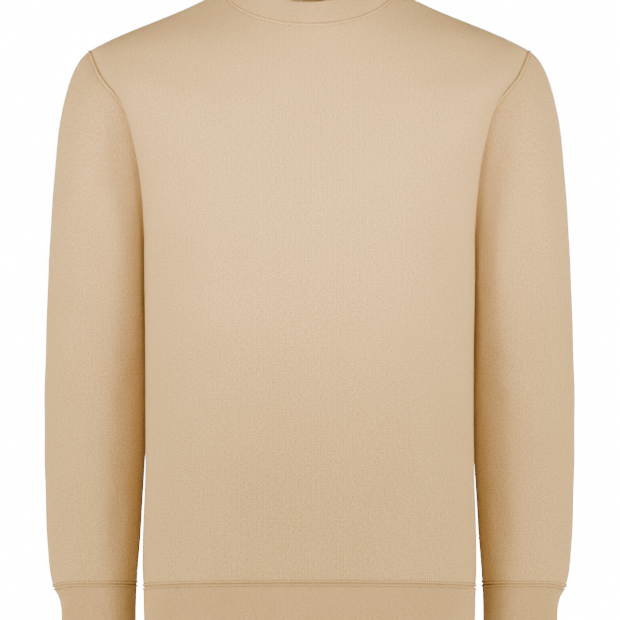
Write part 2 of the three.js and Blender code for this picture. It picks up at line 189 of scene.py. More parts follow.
BACK_SHAPE = [
    [0, 112, -652, 0.74, 70, 0.01, -0.1],
    [0.05, 116, -632, 0.73, 70, 0.03, -0.09],
    [0.35, 111, -515, 0.7, 66, 0.02, -0.03],
    [0.7, 115, -377, 0.68, 68, 0.02, 0],
    [0.9, 122, -302, 0.66, 70, 0.16, 0],
    [1, 126, -264, 0.64, 65, 0.34, 0],
    [1.2, 130, -228, 0.63, 48, 0.7, 0],
    [1.5, 131, -178, 0.61, 32, 1.1, 0],
    [1.75, 127, -132, 0.6, 38, 0.9, 0],
    [2, 116, -88, 0.6, 54, 0.35, 0],
    [2.2, 109, -64, 0.6, 54, 0.05, 0.05],
    [2.5, 97, -34, 0.58, 48, 0, 0.12],
    [3, 72, 8, 0.56, 35, 0, 0.25],
]

# %% [markdown]
# The sleeve below its head, and the cuff, are rings: how far they reach in and out in x, where
# their middle is, how deep they are, how far the outer side hangs below, and how square they are,
# where 2 is an ellipse. The head is a curve from every point of the armhole to the upper arm, and
# its table says which way each one leaves.

# %% Sleeve, cuff, hem band and collar tables
# at, z, inner, outer, y, deep, droop, square
SLEEVE = [
    [0, -292, 175, 283, 38, 73, 0, 2.4],
    [0.25, -380, 176, 286.7, 40, 66, 0, 2.3],
    [0.5, -470, 177.5, 288, 36, 59, 0, 2.1],
    [0.75, -560, 181, 286, 26, 52, 0, 2.1],
    [0.93, -624, 185.3, 281, 15, 46, 2, 2.2],
    [1, -640, 186.6, 276.8, 12, 42, 7, 2.25],
]
CUFF = [
    [0, -640, 186.6, 276, 12, 41.5, 7, 2.25],
    [0.25, -655, 187.2, 269.6, 10, 37, 4, 2.25],
    [0.5, -671, 187.4, 267.2, 7, 34, 2, 2.25],
    [1, -703, 187.4, 266.6, 2, 32, 0, 2.25],
]
INNER_DROOP = 0.4
# round, x, y, z, leave, meet
SLEEVE_HEAD = [
    [0, 0.5, 0, -0.86, 0.33, 0.26],
    [0.15, 0.75, -0.3, -0.6, 0.33, 0.26],
    [0.3, 0.86, -0.3, -0.42, 0.3, 0.28],
    [0.42, 0.9, -0.12, -0.43, 0.22, 0.29],
    [0.5, 0.889, 0, -0.457, 0.2, 0.29],
    [0.58, 0.9, 0.12, -0.43, 0.22, 0.29],
    [0.7, 0.86, 0.3, -0.42, 0.3, 0.28],
    [0.85, 0.75, 0.3, -0.6, 0.33, 0.26],
    [1, 0.5, 0, -0.86, 0.33, 0.26],
]
MEET_LEAN = 0.08
HEM_SIDE, HEM_FRONT, HEM_BACK = [176.8, -4, -709], [0, -121, -698], [0, 109, -715]
COLLAR_SIDE, COLLAR_FRONT, COLLAR_BACK = [76, 8, 22], [0, -66, -21.3], [0, 62, 30]
ROUND = 0.5523

# %% [markdown]
# ## From tables to smooth sheets
#
# A sheet is a grid of points, many rows by many columns. Blending a whole grid at once with
# arrays is quick, and it gives the rows and columns that cloth has anyway: wales run up a panel
# and courses run across it. Where two tables meet, a light blur along the columns takes out the
# crease that the join would leave, and it leaves the seam itself where it is.

# %% Stations of the rows, and the seam point of each
ROWS_UP = (80, 72, 40)
HALF_COLUMNS = 64
STATIONS = np.concatenate(
    [np.linspace(k, k + 1, n, endpoint=False) for k, n in enumerate(ROWS_UP)] + [[3.0]]
)


def seam_line(table, count):
    """Points along a seam with its small corners worn round."""
    return soften(read_between(table, np.linspace(0, 1, count + 1)), 3)


def panel_edge(armhole):
    lines = [SIDE_SEAM, armhole, SHOULDER_SEAM]
    parts = [seam_line(line, n) for line, n in zip(lines, ROWS_UP)]
    return np.vstack([parts[0][:-1], parts[1][:-1], parts[2]])


def panel_grid(shape, armhole, way):
    """Rows from hem seam to neck seam, columns from the wearer's right side to the left."""
    y, z, across, turn, taper, lean = soften(read_between(shape, STATIONS), 8).T
    edge = panel_edge(armhole)
    middle = np.stack([0 * y, y, z], axis=1)
    out = middle + np.stack([across * edge[:, 0], 0 * y, 0 * y], axis=1)
    reach = turn[:, None]
    into = edge + reach * np.stack([-way * taper, way + 0 * y, way * lean], axis=1)
    t = np.linspace(0, 1, HALF_COLUMNS + 1)[None, :, None]
    left = bezier(*(p[:, None, :] for p in (middle, out, into, edge)), t)
    right = left[:, :0:-1] * [-1, 1, 1]
    return np.concatenate([right, left], axis=1)


def wear_smooth(grid, passes, margin):
    """Blurs along the columns, less within margin points of the grid's sides."""
    columns = np.arange(grid.shape[1])
    inside = np.minimum(columns, columns[::-1]) / margin
    weight = (0.5 * np.clip(inside, 0, 1))[None, :, None]
    for _ in range(passes):
        grid[1:-1] += weight * ((grid[2:] + grid[:-2]) / 2 - grid[1:-1])
    return grid


front = wear_smooth(panel_grid(FRONT_SHAPE, ARMHOLE_FRONT, -1), 28, 33)
back = wear_smooth(panel_grid(BACK_SHAPE, ARMHOLE_BACK, 1), 42, 33)
print("panel grids:", front.shape[:2], "points")

# %% Sleeve rings, from the armhole down to the cuff
AROUND = 2 * ROWS_UP[1]
HEAD_ROWS, ARM_ROWS = 52, 86


def arm_ring(table, at, around):
    """Rings of a sleeve or cuff; around goes from 0 at the body by the front, once round."""
    z, inner, outer, y, deep, droop, square = read_between(table, at).T[:, :, None]
    angle = 2 * np.pi * np.asarray(around)[None, :]
    across, along = -np.cos(angle), -np.sin(angle)
    across = np.sign(across) * abs(across) ** (2 / square)
    along = np.sign(along) * abs(along) ** (2 / square)
    half = (outer - inner) / 2
    hang = droop * across**4 * np.where(across > 0, 1, INNER_DROOP)
    return np.stack([inner + half + half * across, y + deep * along, z - hang], axis=2)


def sleeve_grid():
    """Rows from armhole to cuff seam; the last column closes the ring on the first."""
    up, down = seam_line(ARMHOLE_FRONT, AROUND // 2), seam_line(ARMHOLE_BACK, AROUND // 2)
    start = np.vstack([up, down[-2::-1]])
    around = np.linspace(0, 1, AROUND + 1)
    head = read_between(SLEEVE_HEAD, around)
    leaving = head[:, :3] / np.linalg.norm(head[:, :3], axis=1, keepdims=True)
    end = arm_ring(SLEEVE, [0], around)[0]
    far = np.linalg.norm(end - start, axis=1, keepdims=True)
    meet = far * head[:, 4:5]
    lean = MEET_LEAN * np.cos(2 * np.pi * around)[:, None]
    above = end + meet * np.hstack([lean, 0 * lean, 1 + 0 * lean])
    t = np.linspace(0, 1, HEAD_ROWS, endpoint=False)[:, None, None]
    top = bezier(start, start + far * head[:, 3:4] * leaving, above, end, t)
    arm = arm_ring(SLEEVE, np.linspace(0, 1, ARM_ROWS + 1), around)
    grid = np.concatenate([top, arm])
    for _ in range(6):
        grid[2:-2] += 0.25 * (grid[3:-1] + grid[1:-3] - 2 * grid[2:-2])
    return grid


sleeve = sleeve_grid()
print("sleeve grid:", sleeve.shape[:2], "points")

# %% [markdown]
# ## Folds
#
# Fleece is thick, so a filled-out sweatshirt has few folds, and those are shallow. Each one is a
# soft ridge or trough between two points of a front view, as wide as the table says. On the front
# they are what the picture shows. The back can't be seen, so it gets similar ones, a little
# uneven, where cloth is drawn between the shoulder blades, the underarms and the hem.

# %% Fold tables
# x1, z1, x2, z2, wide, raise
FRONT_FOLDS = [
    [66, -330, 62, -470, 22, -2.2],
    [74, -470, 44, -590, 17, -2.4],
    [104, -350, 112, -520, 24, 1.8],
    [150, -250, 128, -420, 20, -1.6],
    [26, -560, 20, -622, 12, -0.7],
    [120, -560, 134, -624, 12, -0.9],
    [150, -585, 158, -628, 8, -0.7],
]
BACK_FOLDS = [
    [136, -250, 112, -430, 19, -2.8],
    [104, -240, 84, -400, 18, 1.8],
    [60, -420, 92, -590, 20, -2.4],
    [30, -500, 22, -630, 16, -1.1],
    [128, -540, 118, -640, 12, -1.2],
    [150, -150, 120, -215, 18, -1.6],
]
SLEEVE_FOLDS = [
    [192, -398, 240, -420, 12, -2.2],
    [190, -438, 226, -452, 10, -1.8],
    [204, -500, 262, -476, 15, -1.6],
    [206, -560, 214, -618, 10, -1.8],
    [246, -250, 262, -350, 18, -1.4],
    [186, -405, 199, -440, 9, -1.4],
]
UNEVEN_BACK = [[-74, -300, -50, -470, 17, -1.2], [40, -250, 58, -360, 15, -0.9]]


def fold_height(folds, x, z):
    """Sum of the folds' heights at front-view places x, z."""
    height = np.zeros_like(x)
    for x1, z1, x2, z2, wide, lift in folds:
        run, rise = x2 - x1, z2 - z1
        along = np.clip(((x - x1) * run + (z - z1) * rise) / (run**2 + rise**2), 0, 1)
        off = np.hypot(x - x1 - along * run, z - z1 - along * rise)
        height += lift * np.exp(-((off / wide) ** 2))
    return height


RUMPLE_HEIGHT = 0.35
PANEL_RUMPLE, SLEEVE_RUMPLE = 90, 80


def rumple(points, size, seed):
    """Low, wide unevenness from a few waves that cross at chosen random angles."""
    chance = np.random.default_rng(seed)
    total = np.zeros(points.shape[:-1])
    for _ in range(9):
        way = chance.normal(size=3)
        way /= np.linalg.norm(way) * size * chance.uniform(0.7, 1.6)
        total += np.sin(points @ way * 2 * np.pi + chance.uniform(0, 6.28))
    return RUMPLE_HEIGHT * total / 3


# %% [markdown]
# ## Seams as relief
#
# Where two pieces are sewn, the cloth dives into the seam and stands up beside it, over the
# allowance underneath, and a row of stitches pulls a small ditch. That relief is a millimetre or
# less across, far finer than the panel's grid, so extra rows and columns are let in next to each
# edge first. The height is then a formula of the distance from the edge.

# %% Let in fine rows beside an edge
STITCH_OFF, NECK_STITCH_OFF, BAND_OFF = 3.2, 4.1, 4.7
ALLOWANCE, UNDER = 3.5, 1.6
SEAM_STEPS = [0, 0.35, 0.8, 1.3, 1.9, 2.5, 2.9, STITCH_OFF, 3.6]
SEAM_STEPS += [NECK_STITCH_OFF, BAND_OFF, 5.4, 6.4, 7.8]


def let_in(grid, start, end):
    """Adds rows at SEAM_STEPS from the first and last row. Each column keeps its own path.

    The rows nearest the edge are spread evenly again between the last step and the first row
    that lies beyond it in every column.
    """
    if end:
        grid = let_in(grid[::-1], True, False)[::-1]
    if not start:
        return grid
    lengths = np.linalg.norm(np.diff(grid, axis=0), axis=2)
    along = np.vstack([np.zeros(grid.shape[1]), np.cumsum(lengths, axis=0)])
    keep = int(np.argmax(along.min(axis=1) > SEAM_STEPS[-1] + 1.0))
    near = np.repeat(np.array(SEAM_STEPS)[:, None], grid.shape[1], axis=1)
    share = np.linspace(0, 1, keep + 1)[1:-1, None]
    places = np.concatenate([near, near[-1] + (along[keep] - near[-1]) * share])
    fine = np.empty((len(places), *grid.shape[1:]))
    for c in range(grid.shape[1]):
        for axis in range(3):
            fine[:, c, axis] = np.interp(places[:, c], along[:, c], grid[:, c, axis])
    return np.concatenate([fine, grid[keep:]])


# height of the bulge, its distance from the seam, that of the stitches' ditch or 0, depth of the groove
RIBBED_SEAM = (1.15, 1.8, STITCH_OFF, 1.7)
NECK_SEAM = (0.95, 2.0, NECK_STITCH_OFF, 0.3)
PLAIN_SEAM = (0.25, 2.2, 0, 0.4)
BANDED_SEAM = (1.1, 2.3, BAND_OFF, 0.5)
RIB_EDGE = (1.0, 1.7, STITCH_OFF, 1.6)
COLLAR_EDGE = (1.0, 1.7, 0, 0.3)
GROOVE_WIDE, BULGE_WIDE, DITCH_WIDE, DITCH_DEEP = 0.75, 1.25, 0.5, 0.32


def seam_relief(distance, bulge, bulge_at, ditch_at, groove_deep):
    """Height beside a seam: a groove at it, a bulge, and the stitch row's ditch."""
    groove = groove_deep * np.exp(-((distance / GROOVE_WIDE) ** 2))
    raised = bulge * np.exp(-(((distance - bulge_at) / BULGE_WIDE) ** 2))
    ditch = DITCH_DEEP * np.exp(-(((distance - ditch_at) / DITCH_WIDE) ** 2)) if ditch_at else 0
    return raised - groove - ditch


def allowance(outer, inner, normal, at_start, at_end):
    """Adds the seam allowance: a last row that runs on under the neighbouring piece."""
    if at_end:
        ends = allowance(outer[::-1], inner[::-1], normal[::-1], True, False)
        outer, inner, normal = (grid[::-1] for grid in ends)
    if not at_start:
        return outer, inner, normal
    on = outer[:1] - outer[3:4]
    on -= (on * normal[:1]).sum(axis=2, keepdims=True) * normal[:1]
    on *= ALLOWANCE / np.linalg.norm(on, axis=2, keepdims=True)
    under = on - UNDER * normal[:1]
    outer = np.concatenate([outer[:1] + under, outer])
    inner = np.concatenate([inner[:1] + under, inner])
    return outer, inner, np.concatenate([normal[:1], normal])


def from_first(grid):
    """Distance of every point from the first row, along its column."""
    lengths = np.linalg.norm(np.diff(grid, axis=0), axis=2)
    return np.vstack([np.zeros(grid.shape[1]), np.cumsum(lengths, axis=0)])


def turned(grid):
    return grid.swapaxes(0, 1)


def grid_normals(grid, closed):
    """Unit normals; they face out where rows go up and columns go to their right, seen from inside."""
    along = np.gradient(grid, axis=0)
    if closed:
        ring = grid[:, :-1]
        across = np.roll(ring, -1, axis=1) - np.roll(ring, 1, axis=1)
        across = np.concatenate([across, across[:, :1]], axis=1)
    else:
        across = np.gradient(grid, axis=1)
    normal = np.cross(across, along)
    return normal / np.linalg.norm(normal, axis=2, keepdims=True)


# %% [markdown]
# ## From a grid to a closed shell
#
# Every piece ends as one closed mesh: the outer face, an inner face one cloth's thickness below,
# and a rim round the open edges. Its UV map holds real metres on the cloth, across and up, so the
# knit in the materials has its true size and follows each piece's grain as it was cut.

# %% Build shells
FLEECE = 2.0
materials = {}


def new_piece(name, points, quads, uv, material):
    mesh = bpy.data.meshes.new(name)
    mesh.from_pydata((points * MM).tolist(), [], quads.tolist())
    layer = mesh.uv_layers.new(name="cloth")
    layer.data.foreach_set("uv", (uv * MM).astype(np.float32).ravel())
    mesh.polygons.foreach_set("use_smooth", np.ones(len(quads), bool))
    mesh.materials.append(material)
    mesh.update()
    piece = bpy.data.objects.new(name, mesh)
    bpy.context.collection.objects.link(piece)
    return piece


def cloth_lengths(grid):
    """Metres of cloth across from the middle column, and up from the first row."""
    across = np.concatenate(
        [np.zeros((grid.shape[0], 1)), np.cumsum(np.linalg.norm(np.diff(grid, axis=1), axis=2), 1)],
        axis=1,
    )
    across -= across[:, grid.shape[1] // 2][:, None]
    up = from_first(grid)
    return np.stack([across, np.repeat(up.mean(axis=1)[:, None], grid.shape[1], 1)], axis=2)


def quad_corners(rows, columns, offset, flip, wrap):
    """Corner numbers of a grid's quads, for points and, unwrapped, for UVs."""
    r, c = np.meshgrid(np.arange(rows - 1), np.arange(columns - 1), indexing="ij")
    corners = [(r, c), (r, c + 1), (r + 1, c + 1), (r + 1, c)]
    if flip:
        corners.reverse()
    width = columns - 1 if wrap else columns
    point = [offset + a * width + (b % width if wrap else b) for a, b in corners]
    flat = [a * columns + b for a, b in corners]
    return np.stack(point, -1).reshape(-1, 4), np.stack(flat, -1).reshape(-1, 4)


def shell(name, outer, inner, closed, material, flip=False):
    """A closed piece from an outer and an inner grid of the same size."""
    uv = cloth_lengths(outer).reshape(-1, 2)
    rows, columns = outer.shape[:2]
    width = columns - 1 if closed else columns
    points = np.concatenate([g[:, :width].reshape(-1, 3) for g in (outer, inner)])
    half = rows * width
    quads, corners = quad_corners(rows, columns, 0, flip, closed)
    inside, inside_corners = quad_corners(rows, columns, half, not flip, closed)
    borders = []
    number = np.arange(half).reshape(rows, width)
    loops = [(number[0], flip), (number[-1], not flip)]
    if not closed:
        loops += [(number[:, 0], not flip), (number[:, -1], flip)]
    for line, turn in loops:
        ring = np.append(line, line[0]) if closed else line
        quad = np.stack([ring[:-1], ring[:-1] + half, ring[1:] + half, ring[1:]], -1)
        borders.append(quad[:, ::-1] if turn else quad)
    rim = np.concatenate(borders)
    uv_of_point = uv.reshape(rows, columns, 2)[:, :width].reshape(-1, 2)
    all_quads = np.concatenate([quads, inside, rim])
    all_uv = np.concatenate(
        [uv[corners.ravel()], uv[inside_corners.ravel()], uv_of_point[(rim % half).ravel()]]
    )
    return new_piece(name, points, all_quads, all_uv, material)


def mirror_grid(grid):
    return grid * [-1, 1, 1]


# %% [markdown]
# ## Finishes
#
# The face of the fleece is a fine jersey: columns of small V-shaped stitches, about 1.2 mm apart.
# The rib is the same yarn in raised columns. Both share one group of nodes for the stitches, one
# for the fuzz and the dye, and one for the nap: the short crosswise mottling that the picture
# shows all over, with faint columns on the chest. Each material places them at its own sizes.
# All are drawn on the piece's UV map, so they follow the cloth round every fold.


# %% Helpers for building node trees
def add(tree, kind, **settings):
    node = tree.nodes.new(kind)
    for key, value in settings.items():
        if key in node.inputs:
            node.inputs[key].default_value = value
        else:
            setattr(node, key, value)
    return node


def math_node(tree, operation, *inputs):
    node = tree.nodes.new("ShaderNodeMath")
    node.operation = operation
    for socket, value in zip(node.inputs, inputs):
        if isinstance(value, bpy.types.NodeSocket):
            tree.links.new(value, socket)
        else:
            socket.default_value = value
    return node.outputs[0]


def cloth_place(tree):
    """Millimetres across and up the cloth, from the piece's UV map."""
    cloth = add(tree, "ShaderNodeUVMap", uv_map="cloth")
    split = tree.nodes.new("ShaderNodeSeparateXYZ")
    tree.links.new(cloth.outputs[0], split.inputs[0])
    return [math_node(tree, "MULTIPLY", metres, 1 / MM) for metres in split.outputs[:2]]


def end_tree(tree, given, out, geometry):
    """Ends a geometry tree in plain, painted faces, since an export drops instances."""
    realize = tree.nodes.new("GeometryNodeRealizeInstances")
    paint = tree.nodes.new("GeometryNodeSetMaterial")
    tree.links.new(geometry, realize.inputs[0])
    tree.links.new(realize.outputs[0], paint.inputs["Geometry"])
    tree.links.new(given.outputs["Material"], paint.inputs["Material"])
    tree.links.new(paint.outputs[0], out.inputs[0])
    return tree


def new_group(name, inputs, outputs):
    """A node group with the given number inputs (name: default) and outputs (name: kind)."""
    tree = bpy.data.node_groups.new(name, "ShaderNodeTree")
    for label, default in inputs.items():
        socket = tree.interface.new_socket(label, in_out="INPUT", socket_type="NodeSocketFloat")
        socket.default_value = default
    for label in outputs:
        tree.interface.new_socket(label, in_out="OUTPUT", socket_type="NodeSocketFloat")
    return tree, tree.nodes.new("NodeGroupInput"), tree.nodes.new("NodeGroupOutput")


# %% The knit stitch group
def make_knit_group():
    """Columns of V stitches. Height is for a bump, Shade darkens between the stitches."""
    sizes = {"Wale mm": 1.2, "Course mm": 1.0, "Slant": 0.45}
    tree, given, out = new_group("knit stitches", sizes, ["Height", "Shade"])
    across_mm, up_mm = cloth_place(tree)
    wale = math_node(tree, "DIVIDE", across_mm, given.outputs["Wale mm"])
    course = math_node(tree, "DIVIDE", up_mm, given.outputs["Course mm"])
    from_valley = math_node(tree, "PINGPONG", wale, 0.5)
    column = math_node(tree, "SINE", math_node(tree, "MULTIPLY", from_valley, math.pi))
    slant = math_node(tree, "MULTIPLY", from_valley, given.outputs["Slant"])
    phase = math_node(tree, "MULTIPLY", math_node(tree, "ADD", course, slant), 2 * math.pi)
    leg = math_node(tree, "MULTIPLY_ADD", math_node(tree, "SINE", phase), 0.5, 0.5)
    height = math_node(tree, "MULTIPLY", column, math_node(tree, "MULTIPLY_ADD", leg, 0.45, 0.55))
    tree.links.new(height, out.inputs["Height"])
    tree.links.new(height, out.inputs["Shade"])
    return tree


knit_group = make_knit_group()


# %% The fuzz and dye group
def make_fuzz_group():
    """Short fibres on the surface, and dye that took a little unevenly."""
    sizes = {"Fibre scale": 900.0, "Dye scale": 14.0}
    tree, given, out = new_group("fuzz and dye", sizes, ["Height", "Dye"])
    place = tree.nodes.new("ShaderNodeTexCoord")
    fibre = add(tree, "ShaderNodeTexNoise", Detail=3.0, Roughness=0.6)
    dye = add(tree, "ShaderNodeTexNoise", Detail=4.0, Roughness=0.55)
    for noise, label in ((fibre, "Fibre scale"), (dye, "Dye scale")):
        tree.links.new(place.outputs["Object"], noise.inputs["Vector"])
        tree.links.new(given.outputs[label], noise.inputs["Scale"])
    tree.links.new(fibre.outputs[0], out.inputs["Height"])
    tree.links.new(dye.outputs[0], out.inputs["Dye"])
    return tree


fuzz_group = make_fuzz_group()


# %% The nap group
def make_nap_group():
    """Short crosswise mottling of the face, and faint columns that come and go."""
    sizes = {"Across mm": 2.6, "Up mm": 1.7, "Column mm": 2.4, "Columns": 1.0}
    tree, given, out = new_group("nap", sizes, ["Height", "Columns"])
    across_mm, up_mm = cloth_place(tree)

    def patches(across, up, detail):
        place = tree.nodes.new("ShaderNodeCombineXYZ")
        noise = add(tree, "ShaderNodeTexNoise", Scale=1.0, Detail=detail, Roughness=0.6)
        tree.links.new(math_node(tree, "DIVIDE", across_mm, across), place.inputs[0])
        tree.links.new(math_node(tree, "DIVIDE", up_mm, up), place.inputs[1])
        tree.links.new(place.outputs[0], noise.inputs["Vector"])
        return noise.outputs[0]

    mottle = patches(given.outputs["Across mm"], given.outputs["Up mm"], 2.0)
    turn = math_node(tree, "DIVIDE", across_mm, given.outputs["Column mm"])
    wave = math_node(tree, "SINE", math_node(tree, "MULTIPLY", turn, 2 * math.pi))
    present = math_node(tree, "MULTIPLY_ADD", patches(7.0, 60.0, 2.0), 3.0, -1.0)
    present = math_node(tree, "MAXIMUM", present, 0.0)
    columns = math_node(tree, "MULTIPLY", math_node(tree, "MULTIPLY", wave, present), 0.5)
    columns = math_node(tree, "MULTIPLY", columns, given.outputs["Columns"])
    tree.links.new(mottle, out.inputs["Height"])
    tree.links.new(columns, out.inputs["Columns"])
    return tree


nap_group = make_nap_group()


# %% Cloth materials
def linear(colour):
    """Linear values of an sRGB colour written from 0 to 255."""
    part = [c / 255 for c in colour]
    return [p / 12.92 if p <= 0.04045 else ((p + 0.055) / 1.055) ** 2.4 for p in part]


def use_group(tree, group, **sizes):
    node = tree.nodes.new("ShaderNodeGroup")
    node.node_tree = group
    for label, value in sizes.items():
        node.inputs[label.replace("_", " ")].default_value = value
    return node


def cloth_material(name, light, dark, wale, course, nap_height, mottle, columns):
    material = bpy.data.materials.new(name)
    material.use_nodes = True
    tree = material.node_tree
    surface = tree.nodes["Principled BSDF"]
    surface.inputs["Roughness"].default_value = 0.92
    surface.inputs["Specular IOR Level"].default_value = 0.2
    surface.inputs["Sheen Weight"].default_value = 0.1
    surface.inputs["Sheen Roughness"].default_value = 0.5
    knit = use_group(tree, knit_group, Wale_mm=wale, Course_mm=course)
    fuzz = use_group(tree, fuzz_group)
    nap = use_group(tree, nap_group, Columns=columns)
    tone = math_node(tree, "MULTIPLY_ADD", knit.outputs["Shade"], 0.3, -0.05 - mottle / 2)
    tone = math_node(tree, "ADD", tone, math_node(tree, "MULTIPLY", fuzz.outputs["Height"], 0.4))
    tone = math_node(tree, "ADD", tone, math_node(tree, "MULTIPLY", fuzz.outputs["Dye"], 0.5))
    tone = math_node(tree, "ADD", tone, math_node(tree, "MULTIPLY", nap.outputs["Height"], mottle))
    tone = math_node(tree, "ADD", tone, math_node(tree, "MULTIPLY", nap.outputs["Columns"], 1.5))
    mix = tree.nodes.new("ShaderNodeMix")
    mix.data_type = "RGBA"
    mix.clamp_factor = True
    mix.inputs["A"].default_value = (*linear(dark), 1)
    mix.inputs["B"].default_value = (*linear(light), 1)
    tree.links.new(tone, mix.inputs["Factor"])
    tree.links.new(mix.outputs["Result"], surface.inputs["Base Color"])
    knit_bump = add(tree, "ShaderNodeBump", Strength=0.6, Distance=0.14 * MM)
    nap_bump = add(tree, "ShaderNodeBump", Strength=0.8, Distance=nap_height * MM)
    tree.links.new(knit.outputs["Height"], knit_bump.inputs["Height"])
    tree.links.new(nap.outputs["Height"], nap_bump.inputs["Height"])
    tree.links.new(knit_bump.outputs[0], nap_bump.inputs["Normal"])
    tree.links.new(nap_bump.outputs[0], surface.inputs["Normal"])
    return material


FLEECE_LIGHT, FLEECE_DARK = (219, 199, 171), (191, 170, 141)
RIB_LIGHT, RIB_DARK = (214, 194, 167), (182, 161, 132)
# The thread colours are painted shade: real thread is the fleece's beige, and this dark brown stands for
# the shade in the needle holes and along the seam.
THREAD_PAINTED_SHADE_LIGHT, THREAD_PAINTED_SHADE_DARK = (98, 82, 62), (80, 66, 48)
materials["fleece"] = cloth_material("fleece", FLEECE_LIGHT, FLEECE_DARK, 1.2, 1.0, 0.9, 4.4, 1.0)
materials["rib"] = cloth_material("rib", RIB_LIGHT, RIB_DARK, 1.0, 1.1, 0.4, 2.2, 0.0)
# The thread material carries that painted shade of the needle holes and the seam.
materials["thread_painted_shade"] = cloth_material("thread_painted_shade", THREAD_PAINTED_SHADE_LIGHT, THREAD_PAINTED_SHADE_DARK, 0.3, 0.6, 0.05, 1.0, 0.0)
print("materials:", ", ".join(materials))

# %% [markdown]
# ## Front and back
#
# Each panel is cut to its seams, pressed into its folds along its own normals, and given the
# relief of the four seams round it: hem, side, armhole and shoulder, neck. The neck and hem seams
# stand proud beside a row of stitches; the armhole's allowance is turned onto the sleeve, so on
# the panel it only rounds over.

# %% Dress a panel
FOLD_FADE = 28


def fade(distance, reach):
    share = np.clip(distance / reach, 0, 1)
    return share * share * (3 - 2 * share)


def panel_piece(name, grid, way, folds, uneven):
    grid = let_in(grid, True, True)
    grid = turned(let_in(turned(grid), True, True))
    rows_up = grid if way < 0 else grid[:, ::-1]
    low, high = from_first(rows_up), from_first(rows_up[::-1])[::-1]
    side = np.minimum(
        from_first(turned(rows_up)).T, from_first(turned(rows_up)[::-1])[::-1].T
    )
    x, z = rows_up[..., 0], rows_up[..., 2]
    height = fold_height(folds, abs(x), z) + fold_height(uneven, x, z)
    height += rumple(rows_up, PANEL_RUMPLE, 3)
    height *= fade(np.minimum(np.minimum(low, high), side), FOLD_FADE)
    relief = seam_relief(low, *RIBBED_SEAM)
    relief += seam_relief(high, *NECK_SEAM) + seam_relief(side, *PLAIN_SEAM)
    normal = grid_normals(rows_up, False)
    outer = rows_up + (height + relief)[..., None] * normal
    face = outer, normal
    outer, inner, normal = allowance(outer, outer - FLEECE * normal, normal, True, True)
    if way < 0:
        sides = allowance(turned(outer), turned(inner), turned(normal), True, True)
        outer, inner, normal = (turned(grid) for grid in sides)
    return shell(name, outer, inner, False, materials["fleece"]), face


front_piece, front_face = panel_piece("front_cloth", front, -1, FRONT_FOLDS, [])
back_piece, back_face = panel_piece("back_cloth", back, 1, BACK_FOLDS, UNEVEN_BACK)
print("front panel:", len(front_piece.data.polygons), "quads")

# %% [markdown]
# ## Sleeves
#
# A sleeve is a tube. Its seam allowance is turned under at the armhole, which makes a raised band
# about 4 mm wide that ends at a row of stitches. Above the cuff the fabric is eased into the rib,
# so it pulls into small upright gathers that die out after a few centimetres.

# %% Dress the sleeves
GATHERS, GATHER_HEIGHT, GATHER_REACH = 22, 0.45, 12


def sleeve_piece(name, grid, mirrored, seed):
    grid = let_in(grid, True, True)[::-1]
    normal = grid_normals(grid, True)
    low, high = from_first(grid), from_first(grid[::-1])[::-1]
    x, z = grid[..., 0], grid[..., 2]
    height = fold_height(SLEEVE_FOLDS, x, z) + rumple(grid, SLEEVE_RUMPLE, seed)
    height *= fade(np.minimum(low, high), FOLD_FADE)
    around = np.linspace(0, 1, grid.shape[1])[None, :]
    wobble = np.sin(2 * np.pi * (around * GATHERS + 0.8 * np.sin(2 * np.pi * around * 3)))
    height += GATHER_HEIGHT * wobble * np.exp(-low / GATHER_REACH) * fade(low, 4)
    relief = seam_relief(low, *RIBBED_SEAM) + seam_relief(high, *BANDED_SEAM)
    outer = grid + (height + relief)[..., None] * normal
    if mirrored:
        outer, normal = mirror_grid(outer), mirror_grid(normal)
    face = outer, normal
    outer, inner, normal = allowance(outer, outer - FLEECE * normal, normal, True, True)
    return shell(name, outer, inner, True, materials["fleece"], flip=mirrored), face


left_sleeve, left_sleeve_face = sleeve_piece("sleeve_cloth_left", sleeve, False, 5)
right_sleeve, right_sleeve_face = sleeve_piece("sleeve_cloth_right", sleeve, True, 5)
print("sleeve:", len(left_sleeve.data.polygons), "quads each")

# %% [markdown]
# ## Ribs
#
# Cuffs, hem band and collar are tubes of rib knit, folded double, so their free edge is a soft
# fold and not a cut. A section is drawn once: up the outside, in at the seam, down the inside and
# round the fold. It is swept round the ring, and a geometry-nodes tree then lifts the outside into
# ribs, because ribs are a rule: so many to the ring, so high, dying out into the seam.


# %% The rib tree
def make_rib_tree():
    tree = bpy.data.node_groups.new("raise ribs", "GeometryNodeTree")
    socket = tree.interface.new_socket
    socket("Geometry", in_out="INPUT", socket_type="NodeSocketGeometry")
    socket("Ribs", in_out="INPUT", socket_type="NodeSocketInt").default_value = 400
    socket("Height", in_out="INPUT", socket_type="NodeSocketFloat").default_value = 0.0003
    socket("Material", in_out="INPUT", socket_type="NodeSocketMaterial")
    socket("Geometry", in_out="OUTPUT", socket_type="NodeSocketGeometry")
    given, out = tree.nodes.new("NodeGroupInput"), tree.nodes.new("NodeGroupOutput")

    def attribute(name):
        node = add(tree, "GeometryNodeInputNamedAttribute", data_type="FLOAT")
        node.inputs["Name"].default_value = name
        return node.outputs["Attribute"]

    turn = math_node(tree, "MULTIPLY", attribute("around"), 2 * math.pi)
    wave = math_node(tree, "COSINE", math_node(tree, "MULTIPLY", turn, given.outputs["Ribs"]))
    lift = math_node(tree, "MULTIPLY", wave, given.outputs["Height"])
    lift = math_node(tree, "MULTIPLY", lift, attribute("ribbed"))
    normal = tree.nodes.new("GeometryNodeInputNormal")
    move = add(tree, "ShaderNodeVectorMath", operation="SCALE")
    tree.links.new(normal.outputs[0], move.inputs[0])
    tree.links.new(lift, move.inputs["Scale"])
    place = tree.nodes.new("GeometryNodeSetPosition")
    tree.links.new(given.outputs["Geometry"], place.inputs["Geometry"])
    tree.links.new(move.outputs[0], place.inputs["Offset"])
    return end_tree(tree, given, out, place.outputs[0])


